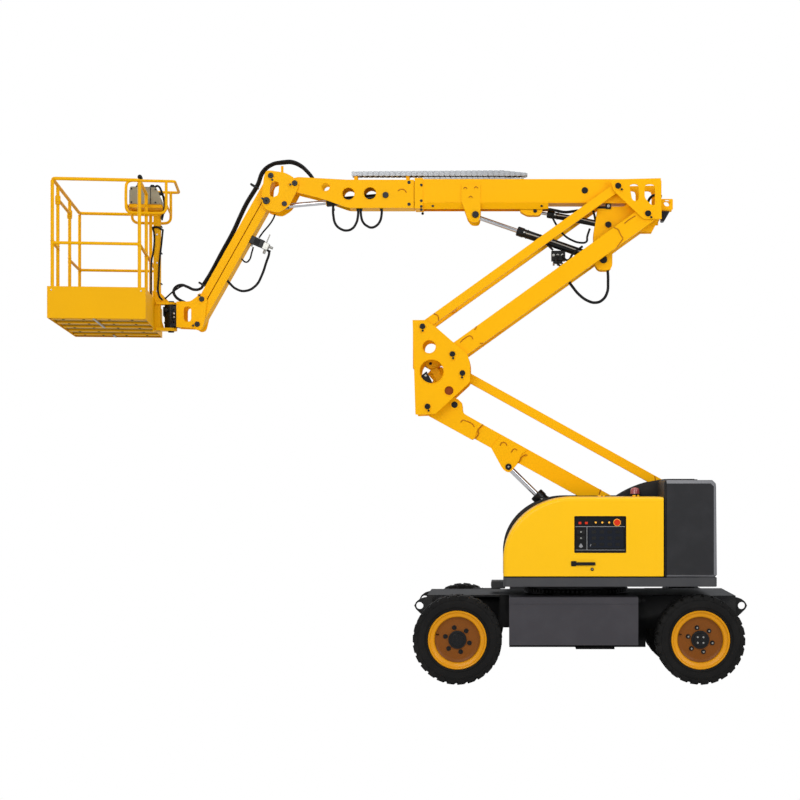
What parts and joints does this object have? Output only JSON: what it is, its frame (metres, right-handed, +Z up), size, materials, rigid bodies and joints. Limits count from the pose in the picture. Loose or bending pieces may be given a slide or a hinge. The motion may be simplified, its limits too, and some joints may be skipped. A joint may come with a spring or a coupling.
{
  "type": "articulating boom lift",
  "caption": "Self-propelled battery-electric articulating boom lift with slewing turntable, two-stage riser, telescopic boom, jib and railed work platform",
  "frame": {"origin": "centre of the bounding box in plan, on the ground the tyres stand on", "axes": "+X from the platform towards the counterweight, +Y to the right of the machine (away from the ground controls), +Z up"},
  "size_m": [5.8556, 1.942, 4.3589],
  "materials": {
    "boom_yellow": "semi-gloss",
    "cowl_yellow": "gloss",
    "platform_yellow": "semi-gloss",
    "chassis_black": "satin",
    "box_grey": "satin",
    "deck_grey": "satin",
    "ballast_grey": "textured",
    "battery_black": "matte",
    "panel_black": "matte",
    "cylinder_black": "semi-gloss",
    "rod_chrome": "polished",
    "hose_rubber": "matte",
    "track_silver": "satin",
    "case_grey": "matte",
    "tyre_rubber": "matte",
    "rim_amber": "semi-gloss"
  },
  "bodies": {
    "chassis": {"chassis_frame": "chassis_black", "side_box_left": "box_grey", "side_box_right": "box_grey", "front_axle": "chassis_black", "rear_axle": "chassis_black"},
    "steer_left": {"steering_knuckle_left": "chassis_black"},
    "steer_right": {"steering_knuckle_right": "chassis_black"},
    "tie_rod": {"tie_rod": "chassis_black"},
    "wheel_front_left": {"tyre_front_left": "tyre_rubber", "rim_front_left": "rim_amber"},
    "wheel_front_right": {"tyre_front_right": "tyre_rubber", "rim_front_right": "rim_amber"},
    "wheel_rear_left": {"tyre_rear_left": "tyre_rubber", "rim_rear_left": "rim_amber"},
    "wheel_rear_right": {"tyre_rear_right": "tyre_rubber", "rim_rear_right": "rim_amber"},
    "turntable": {"turntable_deck": "deck_grey", "boom_tower": "ballast_grey", "counterweight": "ballast_grey", "ground_controls": "panel_black", "battery_pack": "battery_black"},
    "hood_left": {"cowl_left": "cowl_yellow"},
    "hood_right": {"cowl_right": "cowl_yellow"},
    "lower_boom": {"lower_boom": "boom_yellow"},
    "lower_link": {"lower_link": "boom_yellow"},
    "mid_upright": {"mid_upright": "boom_yellow"},
    "upper_riser": {"upper_riser": "boom_yellow"},
    "upper_link": {"upper_link": "boom_yellow"},
    "top_upright": {"top_upright": "boom_yellow"},
    "timing_link": {"timing_link": "boom_yellow"},
    "riser_barrel": {"riser_cylinder_barrel": "cylinder_black"},
    "riser_rod": {"riser_cylinder_rod": "rod_chrome"},
    "main_boom": {"main_boom": "boom_yellow", "cable_track_lower": "track_silver"},
    "main_barrel": {"main_cylinder_barrel": "cylinder_black"},
    "main_rod": {"main_cylinder_rod": "rod_chrome"},
    "level_barrel": {"level_cylinder_barrel": "cylinder_black"},
    "level_rod": {"level_cylinder_rod": "rod_chrome"},
    "fly_boom": {"fly_boom": "boom_yellow", "cable_track_upper": "track_silver", "elbow_hose": "hose_rubber", "fly_hose_front": "hose_rubber", "fly_hose_rear": "hose_rubber"},
    "jib_bracket": {"jib_bracket": "boom_yellow"},
    "jib_level_rod": {"jib_level_rod": "rod_chrome"},
    "jib_boom": {"jib_boom": "boom_yellow"},
    "jib_link": {"jib_link": "boom_yellow", "jib_hose": "hose_rubber"},
    "jib_head": {"jib_head": "boom_yellow", "rotator": "chassis_black"},
    "platform": {"platform_base": "platform_yellow", "guard_rail": "platform_yellow", "control_box": "case_grey"},
    "gate_bar": {"gate_bar": "platform_yellow"}
  },
  "joints": [
    {"name": "steer_left", "type": "hinge", "parent": "chassis", "child": "steer_left", "pos_m": [0.5469, -0.61258, 0.3575], "axis": [0, 0, 1], "range_deg": [-30, 30]},
    {"name": "steer_right", "type": "hinge", "parent": "chassis", "child": "steer_right", "pos_m": [0.5469, 0.74742, 0.3575], "axis": [0, 0, 1], "range_deg": [-30.3, 30.3]},
    {"name": "tie_rod_swing", "type": "hinge", "parent": "steer_left", "child": "tie_rod", "pos_m": [0.7169, -0.51758, 0.3292], "axis": [0, 0, 1], "range_deg": [-30.3, 30.3]},
    {"name": "wheel_front_left", "type": "hinge", "parent": "steer_left", "child": "wheel_front_left", "pos_m": [0.5469, -0.68758, 0.3575], "axis": [0, 1, 0], "continuous": true},
    {"name": "wheel_front_right", "type": "hinge", "parent": "steer_right", "child": "wheel_front_right", "pos_m": [0.5469, 0.82242, 0.3575], "axis": [0, 1, 0], "continuous": true},
    {"name": "wheel_rear_left", "type": "hinge", "parent": "chassis", "child": "wheel_rear_left", "pos_m": [2.4969, -0.68758, 0.3575], "axis": [0, 1, 0], "continuous": true},
    {"name": "wheel_rear_right", "type": "hinge", "parent": "chassis", "child": "wheel_rear_right", "pos_m": [2.4969, 0.82242, 0.3575], "axis": [0, 1, 0], "continuous": true},
    {"name": "slew", "type": "hinge", "parent": "chassis", "child": "turntable", "pos_m": [1.5219, 0.06742, 0.74], "axis": [0, 0, 1], "range_deg": [-177.5, 177.5]},
    {"name": "hood_left", "type": "hinge", "parent": "turntable", "child": "hood_left", "pos_m": [1.5219, -0.11758, 1.503], "axis": [-1, 0, 0], "range_deg": [0, 70]},
    {"name": "hood_right", "type": "hinge", "parent": "turntable", "child": "hood_right", "pos_m": [1.5219, 0.25242, 1.503], "axis": [1, 0, 0], "range_deg": [0, 70]},
    {"name": "riser_lift", "type": "hinge", "parent": "turntable", "child": "lower_boom", "pos_m": [2.0429, 0.06742, 1.277], "axis": [0, 1, 0], "range_deg": [-22, 36]},
    {"name": "lower_link", "type": "hinge", "parent": "turntable", "child": "lower_link", "pos_m": [2.3359, 0.06742, 1.557], "axis": [0, 1, 0], "range_deg": [-22.3, 36.3]},
    {"name": "mid_upright_level", "type": "hinge", "parent": "lower_boom", "child": "mid_upright", "pos_m": [0.27529, 0.06742, 2.2568], "axis": [0, 1, 0], "range_deg": [-36.3, 22.3]},
    {"name": "upper_riser_raise", "type": "hinge", "parent": "mid_upright", "child": "upper_riser", "pos_m": [0.48429, 0.06742, 2.6968], "axis": [0, 1, 0], "range_deg": [-36.3, 22.3]},
    {"name": "upper_link", "type": "hinge", "parent": "mid_upright", "child": "upper_link", "pos_m": [0.23329, 0.06742, 2.9288], "axis": [0, 1, 0], "range_deg": [-36.3, 22.3]},
    {"name": "top_upright_level", "type": "hinge", "parent": "upper_riser", "child": "top_upright", "pos_m": [2.12551, 0.06742, 3.87614], "axis": [0, 1, 0], "range_deg": [-22.3, 36.3]},
    {"name": "timing_link", "type": "hinge", "parent": "lower_boom", "child": "timing_link", "pos_m": [0.49829, 0.06742, 2.2758], "axis": [0, 1, 0], "range_deg": [-26.58, 16.36]},
    {"name": "riser_barrel", "type": "hinge", "parent": "turntable", "child": "riser_barrel", "pos_m": [1.7939, 0.06742, 0.928], "axis": [0, 1, 0], "range_deg": [-20.19, 32.85]},
    {"name": "riser_rod", "type": "slide", "parent": "riser_barrel", "child": "riser_rod", "axis": [-0.7142, 0, 0.6999], "range_m": [-0.1638, 0.2674]},
    {"name": "main_lift", "type": "hinge", "parent": "top_upright", "child": "main_boom", "pos_m": [1.87451, 0.06742, 4.10814], "axis": [0, 1, 0], "range_deg": [0, 70]},
    {"name": "main_barrel", "type": "hinge", "parent": "top_upright", "child": "main_barrel", "pos_m": [1.75751, 0.06742, 3.50514], "axis": [0, 1, 0], "range_deg": [-0.3, 54.84]},
    {"name": "main_rod", "type": "slide", "parent": "main_barrel", "child": "main_rod", "axis": [-0.9451, 0, 0.3267], "range_m": [-0.001, 0.6293]},
    {"name": "level_barrel", "type": "hinge", "parent": "top_upright", "child": "level_barrel", "pos_m": [1.79851, 0.06742, 3.80114], "axis": [0, 1, 0], "range_deg": [-0.3, 59.92]},
    {"name": "level_rod", "type": "slide", "parent": "level_barrel", "child": "level_rod", "axis": [-0.982, 0, 0.1888], "range_m": [-0.001, 0.3496]},
    {"name": "telescope", "type": "slide", "parent": "main_boom", "child": "fly_boom", "axis": [-1, 0, 0], "range_m": [0, 1]},
    {"name": "bracket_level", "type": "hinge", "parent": "fly_boom", "child": "jib_bracket", "pos_m": [-0.84749, 0.06742, 4.14214], "axis": [0, 1, 0], "range_deg": [-70.3, 0.3], "deforming": ["elbow_hose"]},
    {"name": "jib_level_rod", "type": "slide", "parent": "fly_boom", "child": "jib_level_rod", "axis": [-0.9959, 0, -0.0901], "range_m": [-0.2257, 0.001]},
    {"name": "jib_lift", "type": "hinge", "parent": "jib_bracket", "child": "jib_boom", "pos_m": [-1.08649, 0.06742, 3.99414], "axis": [0, 1, 0], "range_deg": [0, 130]},
    {"name": "jib_link", "type": "hinge", "parent": "jib_bracket", "child": "jib_link", "pos_m": [-1.04949, 0.06742, 4.20614], "axis": [0, 1, 0], "range_deg": [-0.3, 130.3], "deforming": ["jib_hose"]},
    {"name": "jib_head_level", "type": "hinge", "parent": "jib_boom", "child": "jib_head", "pos_m": [-1.67249, 0.06742, 2.95514], "axis": [0, 1, 0], "range_deg": [-130.3, 0.3]},
    {"name": "platform_swing", "type": "hinge", "parent": "jib_head", "child": "platform", "pos_m": [-1.91349, 0.06742, 2.931], "axis": [0, 0, 1], "range_deg": [-97.4, 82.6]},
    {"name": "gate_bar", "type": "slide", "parent": "platform", "child": "gate_bar", "axis": [0, 0, 1], "range_m": [0, 0.06]}
  ],
  "couplings": [
    {"joint": "steer_right", "follows": "steer_left", "ratio": 1},
    {"joint": "tie_rod_swing", "follows": "steer_left", "ratio": -1},
    {"joint": "lower_link", "follows": "riser_lift", "ratio": 1},
    {"joint": "mid_upright_level", "follows": "riser_lift", "ratio": -1},
    {"joint": "upper_riser_raise", "follows": "riser_lift", "ratio": -1},
    {"joint": "upper_link", "follows": "riser_lift", "ratio": -1},
    {"joint": "top_upright_level", "follows": "riser_lift", "ratio": 1},
    {"joint": "timing_link", "follows": "riser_lift", "ratio": -0.73},
    {"joint": "riser_barrel", "follows": "riser_lift", "ratio": 0.9041},
    {"joint": "riser_rod", "follows": "riser_lift", "m_per_rad": 0.424},
    {"joint": "main_barrel", "follows": "main_lift", "ratio": 0.7791},
    {"joint": "main_rod", "follows": "main_lift", "m_per_rad": 0.5143},
    {"joint": "level_barrel", "follows": "main_lift", "ratio": 0.8517},
    {"joint": "level_rod", "follows": "main_lift", "m_per_rad": 0.2853},
    {"joint": "bracket_level", "follows": "main_lift", "ratio": -1},
    {"joint": "jib_level_rod", "follows": "main_lift", "m_per_rad": -0.1839},
    {"joint": "jib_link", "follows": "jib_lift", "ratio": 1},
    {"joint": "jib_head_level", "follows": "jib_lift", "ratio": -1}
  ]
}
